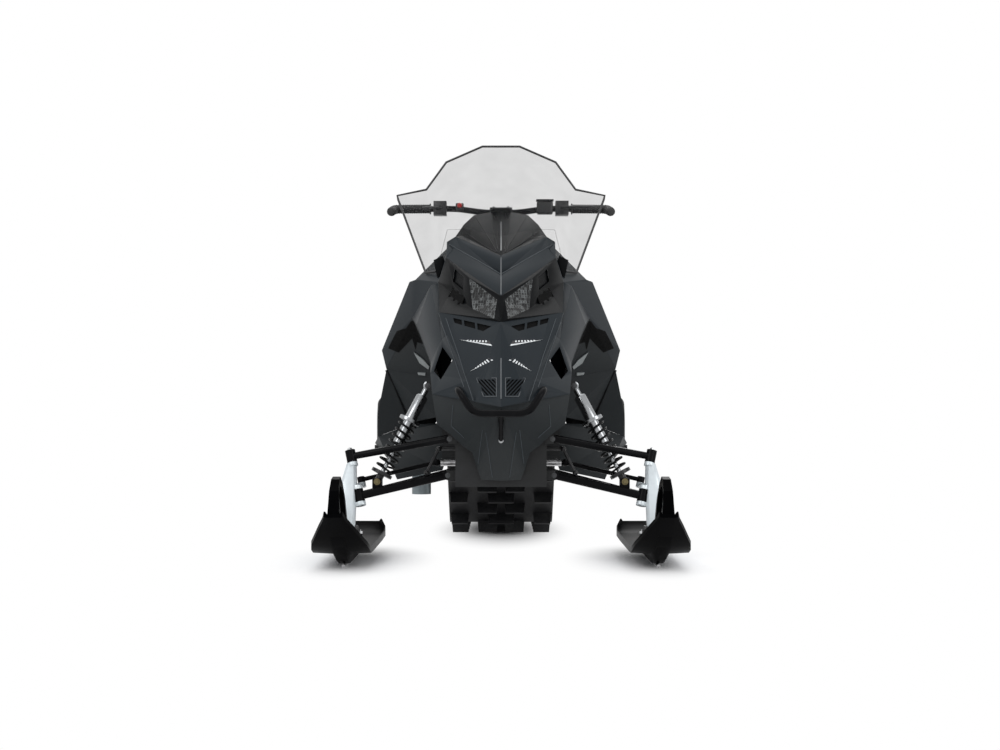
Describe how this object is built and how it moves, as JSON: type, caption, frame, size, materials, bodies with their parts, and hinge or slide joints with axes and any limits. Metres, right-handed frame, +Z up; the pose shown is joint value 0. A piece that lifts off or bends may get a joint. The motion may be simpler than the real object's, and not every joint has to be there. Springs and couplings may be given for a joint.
{
  "type": "snowmobile",
  "caption": "Mountain and trail snowmobile with a tall windshield, long seat, lugged track loop and steerable plastic skis on double wishbones",
  "frame": {"origin": "on the ground, under the middle of the machine", "axes": "+Z up, the nose and ski tips toward -Y, +Y toward the snow flap, +X on the rider's left"},
  "size_m": [1.112, 3.02, 1.3847],
  "materials": {
    "tunnel": "black powder coat",
    "running_boards": "black powder coat",
    "track": "moulded black rubber",
    "slide_rails": "black anodised",
    "idler_wheels": "rubber tyred wheels",
    "bogie_wheels": "rubber tyred wheels",
    "drive_axle": "moulded sprockets on a shaft",
    "skid_arms": "black powder coat",
    "skid_shocks": "satin",
    "engine": "plain block",
    "front_tub": "black powder coat",
    "upper_arms": "black powder coat",
    "shocks": "satin anodised",
    "shock_springs": "black coated wire",
    "lower_arms": "black powder coat",
    "frame_tubes": "black powder coat",
    "sway_bar": "black",
    "spindle_left": "silver paint",
    "spindle_right": "silver paint",
    "ski_left": "moulded gloss black",
    "ski_right": "moulded gloss black",
    "runner_left": "worn steel",
    "runner_right": "worn steel",
    "ski_saddle_left": "moulded rubber",
    "ski_saddle_right": "moulded rubber",
    "tie_rod_left": "satin",
    "tie_rod_right": "satin",
    "steering_rack": "machined",
    "brow": "dark slate paint",
    "headlight_housing": "black",
    "nose_cowl": "dark slate paint",
    "nose_cheeks": "dark slate paint",
    "side_panels": "dark slate paint",
    "console_pod": "dark grey",
    "headlights": "clear lens",
    "front_bumper": "gloss black",
    "belly_pan": "dark grey",
    "windshield": "light grey tint",
    "windshield_brackets": "black",
    "side_liners": "dark grey",
    "foot_guards": "dark grey",
    "fuel_tank": "black",
    "seat": "black grained cover",
    "tail_lamp": "red lens",
    "toe_holds": "black",
    "rear_bumper": "black",
    "snow_flap": "black rubber sheet",
    "handlebar": "black anodised",
    "handlebar_post": "black",
    "grips": "ribbed rubber",
    "brake_block": "black",
    "throttle_block": "black",
    "exhaust_outlet": "heat tinted steel"
  },
  "bodies": {
    "chassis": {"tunnel": "tunnel", "running_boards": "running_boards", "track": "track", "slide_rails": "slide_rails", "idler_wheels": "idler_wheels", "bogie_wheels": "bogie_wheels", "drive_axle": "drive_axle", "skid_arms": "skid_arms", "skid_shocks": "skid_shocks", "engine": "engine", "front_tub": "front_tub", "upper_arms": "upper_arms", "shocks": "shocks", "shock_springs": "shock_springs", "lower_arms": "lower_arms", "frame_tubes": "frame_tubes", "sway_bar": "sway_bar", "brow": "brow", "headlight_housing": "headlight_housing", "nose_cowl": "nose_cowl", "nose_cheeks": "nose_cheeks", "side_panels": "side_panels", "console_pod": "console_pod", "headlights": "headlights", "front_bumper": "front_bumper", "belly_pan": "belly_pan", "windshield": "windshield", "windshield_brackets": "windshield_brackets", "side_liners": "side_liners", "foot_guards": "foot_guards", "fuel_tank": "fuel_tank", "seat": "seat", "tail_lamp": "tail_lamp", "toe_holds": "toe_holds", "rear_bumper": "rear_bumper", "snow_flap": "snow_flap", "exhaust_outlet": "exhaust_outlet"},
    "steering": {"handlebar": "handlebar", "handlebar_post": "handlebar_post", "grips": "grips", "brake_block": "brake_block", "throttle_block": "throttle_block"},
    "left_ski": {"spindle_left": "spindle_left", "ski_left": "ski_left", "runner_left": "runner_left", "ski_saddle_left": "ski_saddle_left"},
    "right_ski": {"spindle_right": "spindle_right", "ski_right": "ski_right", "runner_right": "runner_right", "ski_saddle_right": "ski_saddle_right"},
    "left_tie_rod": {"tie_rod_left": "tie_rod_left"},
    "right_tie_rod": {"tie_rod_right": "tie_rod_right"},
    "rack": {"steering_rack": "steering_rack"}
  },
  "joints": [
    {"name": "steering", "type": "hinge", "parent": "chassis", "child": "steering", "pos_m": [0, -0.17, 1.172], "axis": [0, 0.4226, 0.9063], "range_deg": [-32, 32]},
    {"name": "left_ski_steer", "type": "hinge", "parent": "chassis", "child": "left_ski", "pos_m": [0.444, -0.93, 0.2], "axis": [0.2163, 0.2549, 0.9425], "range_deg": [-28.1, 28.1]},
    {"name": "right_ski_steer", "type": "hinge", "parent": "chassis", "child": "right_ski", "pos_m": [-0.444, -0.93, 0.2], "axis": [-0.2163, 0.2549, 0.9425], "range_deg": [-28.1, 28.1]},
    {"name": "left_tie_rod_pivot", "type": "hinge", "parent": "left_ski", "child": "left_tie_rod", "pos_m": [0.447, -0.82, 0.245], "axis": [0.2163, 0.2549, 0.9425], "range_deg": [-28.1, 28.1]},
    {"name": "right_tie_rod_pivot", "type": "hinge", "parent": "right_ski", "child": "right_tie_rod", "pos_m": [-0.447, -0.82, 0.245], "axis": [-0.2163, 0.2549, 0.9425], "range_deg": [-28.1, 28.1]},
    {"name": "rack_slide", "type": "slide", "parent": "chassis", "child": "rack", "axis": [1, 0, 0], "range_m": [-0.0455, 0.0455]}
  ],
  "couplings": [
    {"joint": "left_ski_steer", "follows": "steering", "ratio": 0.875},
    {"joint": "right_ski_steer", "follows": "steering", "ratio": 0.875},
    {"joint": "left_tie_rod_pivot", "follows": "steering", "ratio": -0.875},
    {"joint": "right_tie_rod_pivot", "follows": "steering", "ratio": -0.875},
    {"joint": "rack_slide", "follows": "steering", "m_per_rad": -0.079}
  ]
}
